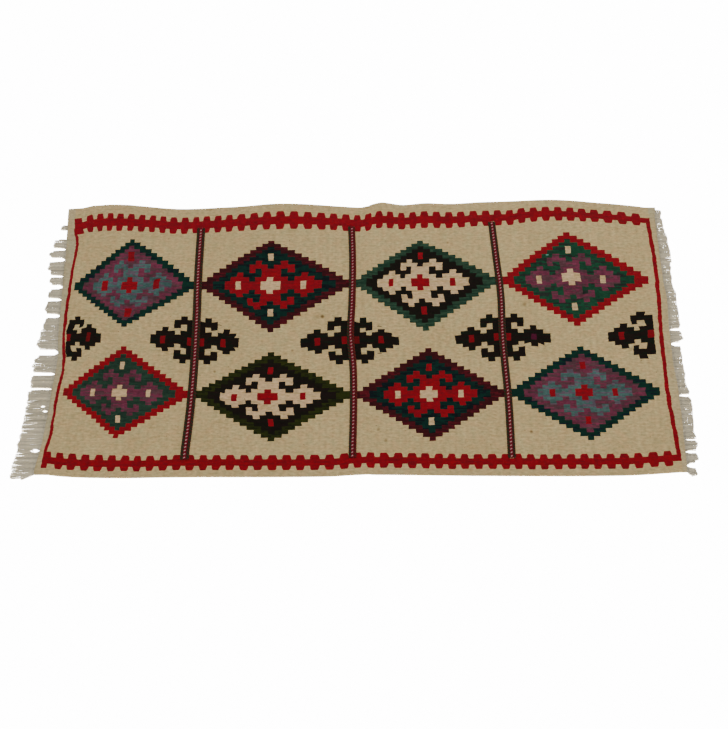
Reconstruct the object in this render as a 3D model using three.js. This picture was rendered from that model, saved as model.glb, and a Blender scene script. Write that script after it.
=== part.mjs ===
// A flat-woven wool rug, laid out flat: one thin cloth, a comb of warp fringe at each end,
// and three raised braids that run across the cloth and split it into four panels.
//
// Sizes are in millimetres. +X runs along the rug, +Y across it from the near side to the far
// side, and +Z is up. The origin lies on the floor under the middle of the rug.
import * as THREE from 'three';

// ---- Thicknesses and clearances ----
const CLOTH_THICKNESS = 3;
const FRINGE_THICKNESS = 3;
const PIECE_GAP = 0.3;

// ---- The two ends of the cloth, from the near side (across 0) to the far side (across 1) ----
const END_SECTIONS = [
  { across: 0.00, left: -834, right: 852 },
  { across: 0.11, left: -823, right: 848 },
  { across: 0.22, left: -819, right: 850 },
  { across: 0.32, left: -816, right: 854 },
  { across: 0.40, left: -812, right: 859 },
  { across: 0.50, left: -821, right: 862 },
  { across: 0.62, left: -825, right: 867 },
  { across: 0.86, left: -834, right: 868 },
  { across: 1.00, left: -842, right: 869 },
];

// ---- The two long sides of the cloth: where each one lies at each place along the rug ----
const NEAR_SIDE = [
  { along: -834, edge: -412 },
  { along: -755, edge: -422 },
  { along: -613, edge: -427 },
  { along: -485, edge: -424 },
  { along: -75, edge: -422 },
  { along: 10, edge: -417 },
  { along: 335, edge: -420 },
  { along: 696, edge: -419 },
  { along: 852, edge: -409 },
];
const FAR_SIDE = [
  { along: -842, edge: 391 },
  { along: -770, edge: 402 },
  { along: -700, edge: 410 },
  { along: -610, edge: 406 },
  { along: -515, edge: 398 },
  { along: -400, edge: 403 },
  { along: -250, edge: 413 },
  { along: -150, edge: 413 },
  { along: -55, edge: 408 },
  { along: 10, edge: 403 },
  { along: 30, edge: 405 },
  { along: 55, edge: 420 },
  { along: 130, edge: 412 },
  { along: 200, edge: 417 },
  { along: 255, edge: 415 },
  { along: 375, edge: 423 },
  { along: 570, edge: 426 },
  { along: 665, edge: 423 },
  { along: 785, edge: 412 },
  { along: 869, edge: 399 },
];

// ---- Soft waves where the long sides stand a little off the floor ----
// Each wave is highest at the edge and dies away over its reach into the cloth.
const EDGE_WAVES = [
  { side: 'far', along: -705, halfWidth: 120, reach: 120, lift: 6 },
  { side: 'far', along: -210, halfWidth: 150, reach: 120, lift: 6 },
  { side: 'far', along: 85, halfWidth: 45, reach: 110, lift: 5 },
  { side: 'far', along: 215, halfWidth: 80, reach: 90, lift: 4 },
  { side: 'far', along: 565, halfWidth: 150, reach: 130, lift: 7 },
  { side: 'near', along: -620, halfWidth: 130, reach: 80, lift: 3 },
];

// ---- The storage crease: one low ridge from side to side ----
const CREASE = { along: 27, halfWidth: 20, lift: 3 };

// ---- The raised braids: where each crosses the near and the far side of the cloth ----
const BRAID_WIDTH = 20;
const BRAID_HEIGHT = 3;
const BRAID_RIBS = 3;
const BRAID_RIB_STEPS = 4;
const BRAID_VALLEY = 0.45;
const BRAID_START_ACROSS = 0.06;
const BRAID_END_ACROSS = 0.915;
const BRAIDS = [
  { name: 'braid_left', near: -448, far: -451 },
  { name: 'braid_middle', near: -13, far: -24 },
  { name: 'braid_right', near: 406, far: 386 },
];

// ---- The fringe: a row for each tuft, from the far side to the near side ----
const FRINGE_HEADING = 5;
const TUFT_TIP_SHARE = 0.8;
const TUFT_SHORT_SHARE = 0.92;
const LEFT_FRINGE_SPAN = { near: 0, far: 0.94 };
const RIGHT_FRINGE_SPAN = { near: 0, far: 0.985 };
const LEFT_TUFTS = [
  { at: 331, width: 18, length: 16 },
  { at: 278, width: 30, length: 35 },
  { at: 242, width: 22, length: 46 },
  { at: 201, width: 35, length: 47 },
  { at: 156, width: 28, length: 42 },
  { at: 113, width: 24, length: 38 },
  { at: 71, width: 38, length: 41 },
  { at: 26, width: 32, length: 40 },
  { at: -9, width: 33, length: 46 },
  { at: -43, width: 30, length: 56 },
  { at: -101, width: 50, length: 61 },
  { at: -149, width: 28, length: 61 },
  { at: -191, width: 42, length: 59 },
  { at: -248, width: 58, length: 59 },
  { at: -298, width: 34, length: 58 },
  { at: -339, width: 44, length: 61 },
  { at: -375, width: 20, length: 61 },
  { at: -396, width: 17, length: 62 },
  { at: -417, width: 20, length: 56 },
];
const RIGHT_TUFTS = [
  { at: 384, width: 18, length: 16 },
  { at: 345, width: 46, length: 21 },
  { at: 293, width: 53, length: 26 },
  { at: 237, width: 52, length: 27 },
  { at: 174, width: 56, length: 24 },
  { at: 119, width: 43, length: 26 },
  { at: 50, width: 80, length: 27 },
  { at: -20, width: 32, length: 31 },
  { at: -69, width: 39, length: 24 },
  { at: -122, width: 57, length: 29 },
  { at: -179, width: 22, length: 36 },
  { at: -216, width: 36, length: 39 },
  { at: -259, width: 40, length: 38 },
  { at: -317, width: 64, length: 41 },
  { at: -371, width: 26, length: 38 },
  { at: -411, width: 22, length: 27 },
];

// ---- The grid that the cloth is built on ----
// Lines across the rug stand in groups between its ends, braids and crease.
const PANEL_CELLS = { first: 13, second: 13, third: 12, fourth: 15 };
const CREASE_CELLS = 3;
const ROWS = [
  0, 0.02, 0.04, BRAID_START_ACROSS, 0.11, 0.18, 0.26, 0.34, 0.42, 0.5,
  0.58, 0.66, 0.74, 0.81, 0.87, BRAID_END_ACROSS, 0.945, 0.975, 1,
];

const WEAVES = {
  ground: { color: 0xb4a17c, roughness: 0.95, metalness: 0 },
  braid: { color: 0x3a0f14, roughness: 0.9, metalness: 0 },
  fringe: { color: 0xc4beb2, roughness: 0.95, metalness: 0 },
};

// A smooth curve through the rows of a table, read at one place; it is level outside the table.
function readTable(table, placeColumn, valueColumn, place) {
  const last = table.length - 1;
  if (place <= table[0][placeColumn]) {
    return table[0][valueColumn];
  }
  if (place >= table[last][placeColumn]) {
    return table[last][valueColumn];
  }
  const next = table.findIndex((row) => row[placeColumn] > place);
  const from = table[next - 1];
  const to = table[next];
  const before = table[Math.max(next - 2, 0)];
  const after = table[Math.min(next + 1, last)];
  const span = to[placeColumn] - from[placeColumn];
  const slopeFrom = (to[valueColumn] - before[valueColumn]) / (to[placeColumn] - before[placeColumn]);
  const slopeTo = (after[valueColumn] - from[valueColumn]) / (after[placeColumn] - from[placeColumn]);
  const t = (place - from[placeColumn]) / span;
  const t2 = t * t;
  const t3 = t2 * t;
  return (
    (2 * t3 - 3 * t2 + 1) * from[valueColumn] +
    (t3 - 2 * t2 + t) * span * slopeFrom +
    (3 * t2 - 2 * t3) * to[valueColumn] +
    (t3 - t2) * span * slopeTo
  );
}

// 1 in the middle, 0 at a distance of one half width, with a round top and a soft foot.
function hump(distance, halfWidth) {
  const share = Math.min(Math.abs(distance) / halfWidth, 1);
  return 0.5 + 0.5 * Math.cos(Math.PI * share);
}

function leftEnd(across) {
  return readTable(END_SECTIONS, 'across', 'left', across);
}

function rightEnd(across) {
  return readTable(END_SECTIONS, 'across', 'right', across);
}

function braidCentre(braid, across) {
  return THREE.MathUtils.lerp(braid.near, braid.far, across);
}

// The height of the cloth's underside over the floor.
function liftAt(along, fromNear, fromFar) {
  let lift = CREASE.lift * hump(along - CREASE.along, CREASE.halfWidth);
  for (const wave of EDGE_WAVES) {
    const fromEdge = wave.side === 'far' ? fromFar : fromNear;
    lift += wave.lift * hump(along - wave.along, wave.halfWidth) * hump(fromEdge, wave.reach);
  }
  return lift;
}

// A point of the cloth's underside, from its place along (millimetres) and across (0 to 1).
function underside(along, across) {
  const near = readTable(NEAR_SIDE, 'along', 'edge', along);
  const far = readTable(FAR_SIDE, 'along', 'edge', along);
  const y = THREE.MathUtils.lerp(near, far, across);
  return new THREE.Vector3(along, y, liftAt(along, y - near, far - y));
}

// The places along the rug of every grid line, on one row of the grid.
function gridLines(across) {
  const halfBraid = BRAID_WIDTH / 2;
  const [first, second, third] = BRAIDS.map((braid) => braidCentre(braid, across));
  const stops = [
    { along: leftEnd(across), cells: PANEL_CELLS.first },
    { along: first - halfBraid, cells: 1 },
    { along: first + halfBraid, cells: PANEL_CELLS.second },
    { along: second - halfBraid, cells: 1 },
    { along: second + halfBraid, cells: 1 },
    { along: CREASE.along - CREASE.halfWidth, cells: CREASE_CELLS },
    { along: CREASE.along, cells: CREASE_CELLS },
    { along: CREASE.along + CREASE.halfWidth, cells: PANEL_CELLS.third },
    { along: third - halfBraid, cells: 1 },
    { along: third + halfBraid, cells: PANEL_CELLS.fourth },
    { along: rightEnd(across), cells: 0 },
  ];
  const lines = [];
  for (let i = 0; i < stops.length - 1; i += 1) {
    for (let cell = 0; cell < stops[i].cells; cell += 1) {
      lines.push(THREE.MathUtils.lerp(stops[i].along, stops[i + 1].along, cell / stops[i].cells));
    }
  }
  lines.push(rightEnd(across));
  return lines;
}

// A closed solid from rings of points that all have the same count, with flat end caps that are
// given as triangles of ring indices. Each ring runs counter-clockwise seen from the first cap.
function loftGeometry(rings, capTriangles) {
  const count = rings[0].length;
  const positions = rings.flat().flatMap((point) => [point.x, point.y, point.z]);
  const indices = [];
  for (let ring = 0; ring < rings.length - 1; ring += 1) {
    for (let i = 0; i < count; i += 1) {
      const j = (i + 1) % count;
      const a = ring * count + i;
      const b = ring * count + j;
      indices.push(a, a + count, b, b, a + count, b + count);
    }
  }
  const lastRing = (rings.length - 1) * count;
  for (const [a, b, c] of capTriangles) {
    indices.push(a, b, c, lastRing + a, lastRing + c, lastRing + b);
  }
  const geometry = new THREE.BufferGeometry();
  geometry.setAttribute('position', new THREE.Float32BufferAttribute(positions, 3));
  geometry.setIndex(indices);
  geometry.computeVertexNormals();
  return geometry;
}

// The cloth: one ring of points round the sheet for each row of the grid.
function clothGeometry() {
  const rings = ROWS.map((across) => {
    const below = gridLines(across).map((along) => underside(along, across));
    const above = below.map((point) => point.clone().add(new THREE.Vector3(0, 0, CLOTH_THICKNESS)));
    return [...below, ...above.reverse()];
  });
  const lineCount = rings[0].length / 2;
  const caps = [];
  for (let i = 0; i < lineCount - 1; i += 1) {
    const above = 2 * lineCount - 1 - i;
    caps.push([i, i + 1, above], [i + 1, above - 1, above]);
  }
  return loftGeometry(rings, caps);
}

// The height of the ribs at one place across a braid, from 0 at its left edge to 1 at its right.
function ribHeight(share) {
  const withinRib = (share * BRAID_RIBS) % 1;
  const roundTop = Math.sqrt(1 - (2 * withinRib - 1) ** 2);
  const isEdge = share <= 0 || share >= 1;
  return isEdge ? BRAID_HEIGHT * BRAID_VALLEY : BRAID_HEIGHT * Math.max(roundTop, BRAID_VALLEY);
}

// A braid: three round ribs side by side, lying on the cloth from one band to the other.
function braidGeometry(braid) {
  const rows = ROWS.filter((across) => across >= BRAID_START_ACROSS && across <= BRAID_END_ACROSS);
  const steps = BRAID_RIBS * BRAID_RIB_STEPS;
  const seat = CLOTH_THICKNESS + PIECE_GAP;
  const rings = rows.map((across) => {
    const centre = braidCentre(braid, across);
    const left = underside(centre - BRAID_WIDTH / 2, across);
    const right = underside(centre + BRAID_WIDTH / 2, across);
    const raise = (point, height) => point.clone().add(new THREE.Vector3(0, 0, height));
    const top = [];
    for (let step = 0; step <= steps; step += 1) {
      const share = step / steps;
      top.push(raise(left.clone().lerp(right, share), seat + ribHeight(share)));
    }
    return [raise(left, seat), raise(right, seat), ...top.reverse()];
  });
  const caps = [];
  for (let i = 2; i < rings[0].length - 1; i += 1) {
    caps.push(i === 2 ? [0, 1, 2] : [0, i - 1, i]);
  }
  caps.push([0, rings[0].length - 2, rings[0].length - 1]);
  return loftGeometry(rings, caps);
}

// A fringe: a comb whose heading follows one end of the cloth and whose teeth are the tufts.
// The outward direction is -1 at the left end and +1 at the right end.
function fringeGeometry(endAt, outward, span, tufts) {
  const spanRows = [span.near, ...ROWS.filter((across) => across > span.near && across < span.far)];
  spanRows.push(span.far);
  const root = spanRows.map((across) => underside(endAt(across), across));
  const rootAt = (y) => {
    const table = root.map((point) => ({ y: point.y, along: point.x }));
    const clampedNext = table.findIndex((row) => row.y > y);
    if (clampedNext === 0) {
      return table[0].along;
    }
    if (clampedNext < 0) {
      return table[table.length - 1].along;
    }
    const from = table[clampedNext - 1];
    const to = table[clampedNext];
    return THREE.MathUtils.mapLinear(y, from.y, to.y, from.along, to.along);
  };
  const outline = root.map((point) => [point.x + outward * PIECE_GAP, point.y]);
  for (const tuft of tufts) {
    const halfRoot = tuft.width / 2;
    const halfTip = halfRoot * TUFT_TIP_SHARE;
    const base = rootAt(tuft.at);
    outline.push([rootAt(tuft.at + halfRoot) + outward * FRINGE_HEADING, tuft.at + halfRoot]);
    outline.push([base + outward * tuft.length * TUFT_SHORT_SHARE, tuft.at + halfTip]);
    outline.push([base + outward * tuft.length, tuft.at - halfTip / 2]);
    outline.push([base + outward * tuft.length * TUFT_SHORT_SHARE, tuft.at - halfTip]);
    outline.push([rootAt(tuft.at - halfRoot) + outward * FRINGE_HEADING, tuft.at - halfRoot]);
  }
  const shape = new THREE.Shape(outline.map(([x, y]) => new THREE.Vector2(x, y)));
  return new THREE.ExtrudeGeometry(shape, { depth: FRINGE_THICKNESS, bevelEnabled: false });
}

function addPiece(group, name, geometry, weave) {
  const mesh = new THREE.Mesh(geometry, new THREE.MeshStandardMaterial(weave));
  mesh.name = name;
  group.add(mesh);
}

const rug = new THREE.Group();
addPiece(rug, 'cloth', clothGeometry(), WEAVES.ground);
for (const braid of BRAIDS) {
  addPiece(rug, braid.name, braidGeometry(braid), WEAVES.braid);
}
addPiece(rug, 'fringe_left', fringeGeometry(leftEnd, -1, LEFT_FRINGE_SPAN, LEFT_TUFTS), WEAVES.fringe);
addPiece(rug, 'fringe_right', fringeGeometry(rightEnd, 1, RIGHT_FRINGE_SPAN, RIGHT_TUFTS), WEAVES.fringe);

export default rug;
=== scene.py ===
import math

import bpy
import numpy as np
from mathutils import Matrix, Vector, noise
from mathutils.bvhtree import BVHTree


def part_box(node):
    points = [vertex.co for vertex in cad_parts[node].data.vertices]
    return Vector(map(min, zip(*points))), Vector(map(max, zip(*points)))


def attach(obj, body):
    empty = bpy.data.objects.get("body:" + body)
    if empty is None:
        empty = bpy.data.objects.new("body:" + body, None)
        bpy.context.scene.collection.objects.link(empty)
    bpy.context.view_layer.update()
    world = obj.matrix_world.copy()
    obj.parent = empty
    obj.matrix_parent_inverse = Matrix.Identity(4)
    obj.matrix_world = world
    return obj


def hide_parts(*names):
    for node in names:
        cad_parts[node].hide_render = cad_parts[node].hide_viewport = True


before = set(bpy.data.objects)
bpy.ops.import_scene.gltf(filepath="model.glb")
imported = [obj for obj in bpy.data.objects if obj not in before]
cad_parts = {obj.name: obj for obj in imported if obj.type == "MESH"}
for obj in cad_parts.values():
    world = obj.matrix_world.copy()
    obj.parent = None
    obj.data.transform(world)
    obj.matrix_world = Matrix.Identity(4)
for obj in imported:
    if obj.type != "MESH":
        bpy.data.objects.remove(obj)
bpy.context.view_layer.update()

MM = 0.001


# ---- Tables: the names of the columns once, and then a row of values on each line ----
def table(columns, *rows):
    names = columns.split()
    return [dict(zip(names, row)) for row in rows]


def named(rows):
    return {row["name"]: row for row in rows}


# ---- Sizes of the yarn and the weave, in millimetres ----
THICKNESS = 3.0
SELVEDGE_INSET = 0.8
BEAD_LENGTH = 2.7
SLIT_DEPTH = 0.55
COCKLE = {"size": 70.0, "layer": 2.2, "height": 0.9}
# The storage crease runs across the rug, and sways a little from side to side.
CREASE = {"along": 27, "sway": 4, "sway_size": 90, "half_width": 7, "lift": 1.8}
# The CAD's facets are rounded by a running mean over so many grid points to both sides.
HEIGHT_BLUR = {"rows": 5, "columns": 1}
# Grid points outside the CAD cloth take their height from this share of the way out to them.
HEIGHT_PULL = 0.985
# Where the rays start that look for the CAD's and the cloth's faces, in metres.
RAYS_FROM = {"below": -0.05, "above": 0.1, "beyond": 1.2}
EDGE_HALVINGS = 14
# The CAD cloth's edges are read from and up to this far inside its box, at so many places.
OUTLINE_ALONG = {"after": 45, "before": 30, "places": 110}
OUTLINE_ACROSS = {"after": 25, "before": 45, "places": 60}
# Its corners at each end are the ones past this share of the way out to it.
END_SHARE = 0.96
# The grid starts from even rows over this width, and is worked out in this many rounds.
EVEN_WIDTH = 820
GRID_ROUNDS = 3
LINE_HALF_WIDTH = {"left": 4.0, "right": 5.7}
BRAID_HALF_WIDTH = 8.0
# A CAD braid's ends are its corners within this distance of its first and last ones.
BRAID_END_DEPTH = 1.5
SEEDS = {"grid": 11, "dyes": 5, "braids": 21, "wefts": 41}
# Hand weaving: columns wander in two sizes of noise and are ragged at their sides, and ribs bend.
COLUMN_WANDERS = table("size layer most", (26, 3.1, 1.3), (120, 7.7, 1.6))
RAGGED_SIDES = 0.7
RIB_BEND = {"size": 45, "layer": 5.3, "most": 0.9}
# Columns are even beside a braid, and quite loose from this many columns away.
BRAID_CALM = 3
# How far out of the CAD cloth's edge the visible one lies: at a place along it, by how much.
EDGE_SHIFTS = {
    "near": [(0, 0)],
    "far": [(-850, 0), (-800, 3), (-770, 6), (-740, 3), (-690, 0)],
    "left": [(0, 0)],
    "right": [(-420, 5), (-370, 9), (-330, 12), (-210, 13), (-170, 11), (-130, 6), (-90, 2),
              (-50, 0), (110, 0), (150, -4), (370, -4), (398, 1)],
}
# How far the bare end strips' colour goes from the ground's to the grey one's, across the rug.
END_GREYNESS = {
    "left": [(-400, 0.3), (-340, 0.4), (-290, 1.0), (290, 1.0), (330, 0.5), (390, 0.8)],
    "right": [(-420, 0.7), (-300, 0.4), (-100, 0.4), (0, 0.3), (340, 0.3), (390, 0.9)],
}

# ---- The design's rows, from the near side to the far side ----
# A step is one step of the pattern, and its ribs are the warps that it covers.
ROW_BLOCKS = table(
    "name steps ribs",
    ("near_margin", 2, 3),
    ("near_teeth_out", 1, 3),
    ("near_core", 1, 5),
    ("near_teeth_in", 1, 3),
    ("near_ground", 4, 3),
    ("lower", 24, 3),
    ("middle", 5, 3),
    ("upper", 24, 3),
    ("far_ground", 3, 3),
    ("far_teeth_in", 1, 4),
    ("far_core", 1, 6),
    ("far_teeth_out", 1, 4),
    ("far_margin", 2, 4),
)

# ---- The design's columns, from the left end to the right end ----
COLUMN_BLOCKS = table(
    "name steps",
    ("left_margin", 2),
    ("left_line", 1),
    ("left_gap", 1),
    ("a", 23),
    ("braid_left", 1),
    ("b", 23),
    ("braid_middle", 1),
    ("c", 23),
    ("braid_right", 1),
    ("d", 23),
    ("right_gap", 1),
    ("right_line", 1),
    ("right_margin", 2),
)
PARTS_OF_A_COLUMN = 2

# ---- Where the main columns lie along the rug, on each main row ----
# line_left and line_right are the middles of the thin red lines, a_third is the left side of
# panel a's fourth column, and a, b, c and d are the middles of the panels.
COLUMN_PLACES = table(
    "row line_left a_left a_third a b c d d_right line_right",
    (3.5, -811, -801, -796, -651, -238, 197, 611, 820, 839),
    (9, -804, -793, -754, -633, -225, 200, 615, 815, 837),
    (21, -800, -785, -746, -636, -234, 195, 612, 812, 833),
    (28, -793.5, -790, -751, -636, -233.5, 195.5, 611.5, 814, 834.5),
    (33, -801, -795, -756, -636, -233, 196, 611, 816, 836),
    (38, -805, -797, -757, -643, -237, 192, 610, 818, 839),
    (50, -805, -793, -754, -640, -244, 183, 603, 821, 844),
    (62, -803, -795, -756, -644, -245, 180, 603, 821, 845),
    (66.5, -809, -805, -764, -639, -242, 176, 600, 820, 842),
    (68, -814, -805, -764, -639, -242, 176, 600, 820, 842),
    (70, -815, -805, -764, -639, -242, 176, 600, 820, 842),
)

# ---- Where the main rows lie across the rug, at each place along it ----
ROW_PLACES = table(
    "along lower lower_mid lower_end upper upper_mid upper_end",
    (-800, -316, -183, -43, 11, 137, 290),
    (-640, -316, -186, -48, 12, 139, 294),
    (-450, -320, -191, -51, 8, 141, 292),
    (-240, -325, -198, -66, -5, 141, 290),
    (-18, -324, -193, -52, 5, 148, 290),
    (188, -323, -190, -54, -1, 152, 290),
    (396, -322, -187, -42, 15, 156, 304),
    (608, -322, -185, -48, 14, 162, 317),
    (825, -320, -182, -31, 26, 158, 314),
)
UPPER_ROWS_TALLER_INSIDE = 0.2
# Uneven weaving: how far the teeth stand to one side of their even places.
TOOTH_DRIFT = {
    "near": [(-790, 0), (-740, -3), (-665, 0), (-590, 1), (-500, -5), (-430, -2), (-370, -3),
             (-290, -1), (-215, 1), (-108, -6), (-35, -4), (72, -3), (145, 0), (316, -1),
             (388, 0), (490, -4), (560, 0), (600, -1), (666, -6), (736, -6), (790, 0)],
    "far": [(-790, 0), (-740, 0), (-690, -3), (-622, 1), (-533, -3), (-470, 0), (-400, -5),
            (-355, -7), (-300, -4), (-240, 1), (-187, 3), (-108, 8), (-50, 2), (60, 0), (370, 2),
            (443, 3), (475, 0), (590, 3), (640, -2), (690, -7), (745, -4), (800, 0)],
}
# The share of a column that a tooth is wider by on each side, from the core out to its tip.
TOOTH_SWELL = [(0, 0.18), (0.3, 0.12), (0.7, 0.06), (1, -0.08)]
# The near band's distance from the near side, and how tall its teeth and its core are.
NEAR_BAND_PLACES = table(
    "along inset teeth_out core teeth_in",
    (-842, 19, 12, 19, 15),
    (-620, 19, 12, 19, 14),
    (-540, 19, 12, 18, 12),
    (869, 19, 12, 18, 12),
)
# The far band's middle lies this far inside the far side, and it narrows towards the right.
FAR_BAND_PLACES = table(
    "along inset height",
    (-842, 64, 54),
    (-800, 63, 55),
    (-770, 60, 60),
    (-690, 59, 58),
    (-470, 57, 56),
    (-225, 56, 59),
    (0, 55, 57),
    (60, 58, 58),
    (155, 56, 56),
    (445, 57, 51),
    (475, 51, 50),
    (545, 48, 46),
    (730, 47, 43),
    (869, 46, 41),
)
FAR_TEETH_SHARE = 0.28
# Near the left end the far band's teeth lean: outwards at the far side, inwards at the near side.
CORNER_LEAN = {"along": -800, "reach": 60, "most": 7}

# ---- Where single parts of the motifs stand off their even places, by how many millimetres ----
# Each is at a row and a column of its panel, and takes along what lies within its reach.
MOTIF_PULLS = table(
    "panel column row aside up reach",
    ("a", 11, 43, 7, -10, 24),
    ("a", 17, 50, -6, 7, 28),
    ("a", 20, 50, -5, 0, 20),
    ("a", 1, 39.5, 7, 0, 24),
    ("a", 1.5, 30.5, 7, 1, 24),
    ("a", 4, 37.5, 0, 6, 24),
    ("a", 18, 35, -7, -2, 24),
    ("a", 22, 35, 0, -7, 24),
    ("b", 0, 35, 0, -7, 24),
    ("b", 4, 35, -12, -4, 24),
    ("b", 6.5, 35, -12, 0, 24),
    ("b", 1, 39.5, 0, -5, 24),
    ("b", 8.5, 46, -6, -4, 24),
    ("a", 5, 21, -6, 0, 34),
    ("a", 12.5, 21, -3, 0, 24),
    ("a", 17, 21, -4, 0, 28),
    ("a", 19.5, 21, -7, 0, 20),
    ("b", 5.5, 21, -6, -5, 34),
    ("b", 11, 21, -5, 0, 62),
    ("b", 8.5, 25, -3, 0, 24),
    ("b", 14, 25, -3, 0, 24),
    ("b", 17, 21, -5, 0, 34),
    ("b", 19.5, 21, -5, 0, 20),
    ("c", 3, 21, 5, 0, 24),
    ("c", 12.5, 21, -6, 0, 19),
    ("c", 16.5, 21, -5, 0, 34),
    ("c", 19.5, 21, -6, 0, 20),
    ("d", 3, 21, 5, 0, 24),
    ("d", 12.5, 21, -5, 0, 19),
    ("d", 16.5, 21, -6, 0, 34),
    ("d", 19.5, 21, -7, 0, 20),
    ("b", 5.5, 50, -6, 0, 30),
    ("b", 11, 50, -3, 0, 32),
    ("b", 16.5, 50, -5, 0, 34),
    ("c", 1, 39.5, 0, -7, 24),
    ("c", 4, 35, -4, 4, 30),
    ("c", 5.5, 50, -4, 0, 28),
    ("c", 11.5, 50, -6, 0, 72),
    ("c", 15, 46, -4, 0, 24),
    ("c", 17, 50, -6, 0, 34),
    ("c", 19.7, 50, -6, 0, 20),
    ("d", 11, 50, 0, 7, 38),
    ("d", 5.5, 50, -6, 0, 26),
    ("d", 8, 54.5, -5, 0, 24),
    ("d", 15, 54.5, -5, 0, 24),
    ("d", 14, 46, -4, 4, 24),
    ("d", 16.5, 50, -6, 0, 34),
    ("d", 19.7, 50, -7, 0, 20),
    ("d", 22.5, 35, 5, 0, 13),
    ("d", 3, 31, 0, 4, 40),
    ("d", 4, 32.5, 0, 7, 24),
    ("d", 18, 35, -8, 0, 24),
    ("d", 20.5, 30.5, -9, 2, 24),
    ("d", 20.5, 39.5, -8, 0, 24),
)
# How much narrower and lower spots (s) and red hook parts (r) are than whole steps, on each side,
# in steps. Bold spots and the black hooks (k) are a little larger instead.
DRAWN_IN = named(table(
    "name aside up",
    ("s", 0.08, 0.05),
    ("bold s", -0.1, -0.3),
    ("r", 0.1, 0.0),
    ("k", -0.05, -0.2),
))

# ---- The medallion's chart ----
# One line for each step outwards from its middle line, one letter for each column outwards from
# its centre column: b border, g ground, m motif, x cross, s spot. The other quarters mirror it.
MEDALLION = [
    "xxmmmsmmggbb",
    "xmmgmmmggbb.",
    "mmgggmggbb..",
    "mmgmgggbb...",
    "gmmmggbb....",
    "ggmggbb.....",
    "sgggbb......",
    "sggbb.......",
    "ggbb........",
    "gbb.........",
    "bb..........",
    "b...........",
]
# The hooked motif that stands on each braid and half on each end: one line for each step outwards
# from the middle line, one letter for each column outwards from the braid: k black, r red.
HOOKS = [
    "rkkkrkk",
    "kk.kkk.",
    "k...k..",
    "k.k....",
    "kkk....",
    ".k.....",
]
HOOK_MIDDLE_ROW = 35
MEDALLION_HALF = len(MEDALLION)
PANEL_COLUMNS = 2 * MEDALLION_HALF - 1

# Each medallion's dyes: b border, g ground, m motif, x cross, s spot.
MEDALLION_DYES = {(row["block"], row["panel"]): row for row in table(
    "block panel b g m x s",
    ("upper", "a", "teal", "purple", "blue_grey", "red", "red"),
    ("upper", "b", "maroon", "deep_teal", "red", "white", "white"),
    ("upper", "c", "sea_green", "brown_black", "white", "red", "red"),
    ("upper", "d", "red", "green", "purple", "white", "white"),
    ("lower", "a", "red", "grey_green", "purple", "white", "white"),
    ("lower", "b", "olive", "brown_black", "white", "red", "red"),
    ("lower", "c", "maroon", "deep_teal", "red", "white", "white"),
    ("lower", "d", "teal", "purple", "blue_grey", "red", "red"),
)}

# The medallions whose spots are larger than a whole step, and the spots whose dye differs from
# that of the others like them.
BOLD_SPOTS = [("upper", "a")]
ODD_MEDALLION_SPOTS = {("lower", "c", 18): "red", ("lower", "c", 19): "red"}
ODD_HOOK_SPOTS = {("a", 4): "dull_red", ("c", 0): "dull_red", ("d", 4): "plum"}

# Each dye's main and second colour (sRGB), how much of the area the second one takes in streaks
# along the warp, and how far its lightness wanders.
DYES = named(table(
    "name main second share wander",
    ("ground", 0xBBA374, 0xB69E6F, 0.3, 0.02),
    ("white", 0xC3A47B, 0xB6996D, 0.3, 0.04),
    ("red", 0x800714, 0x750612, 0.3, 0.08),
    ("maroon", 0x34070C, 0x490913, 0.35, 0.15),
    ("teal", 0x01271D, 0x03161D, 0.3, 0.2),
    ("deep_teal", 0x01231C, 0x031013, 0.4, 0.2),
    ("sea_green", 0x183122, 0x263E2D, 0.5, 0.15),
    ("green", 0x103B26, 0x1D251F, 0.35, 0.2),
    ("grey_green", 0x1F3628, 0x182D22, 0.4, 0.15),
    ("olive", 0x212603, 0x151802, 0.4, 0.2),
    ("brown_black", 0x100C03, 0x140905, 0.4, 0.2),
    ("purple", 0x62293B, 0x4E3036, 0.45, 0.2),
    ("blue_grey", 0x3E5753, 0x524851, 0.4, 0.22),
    ("black", 0x130903, 0x0B1005, 0.35, 0.2),
))
# Dyes of one colour only.
for plain in table(
    "name main wander",
    ("crimson", 0x72040F, 0.1),
    ("dull_red", 0x5E0509, 0.1),
    ("plum", 0x4A0A26, 0.1),
    ("leaf", 0x1C2C15, 0.25),
    ("bark", 0x411912, 0.25),
    ("russet", 0x5A140F, 0.2),
    ("wine", 0x680C1B, 0.2),
    ("pink", 0xB48582, 0.15),
    ("pale_teal", 0x5B8C7A, 0.1),
    ("end_grey", 0xAFA17D, 0.05),
    ("warp", 0xD9CEB3, 0.22),
):
    DYES[plain["name"]] = {**plain, "second": plain["main"], "share": 0.0}

# The noise that picks the second dye, in streaks, and the one of each dye's tone: its size, how far
# it is from rib to rib through it, and how much of it is chance.
DYE_NOISES = table("size layer rib_step chance", (55, 1.9, 40.0, 0.25), (30, 4.4, 8.0, 0.6))
STREAK_LIMIT = 0.9

# ---- Small brown stains on the ground, in millimetres ----
STAINS = table(
    "along across radius depth",
    (-95, 44, 7.5, 0.95),
    (-108, 43, 8.0, 0.35),
    (467, 82, 7.5, 0.6),
    (460, -297, 5.5, 0.7),
    (-383, -124, 5.0, 0.65),
    (77, -322, 6.0, 0.5),
    (58, -291, 6.0, 0.4),
    (260, 283, 5.0, 0.55),
    (-175, -61, 5.0, 0.5),
    (30, 403, 8.0, 0.55),
    (-427, 396, 8.0, 0.45),
)

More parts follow.
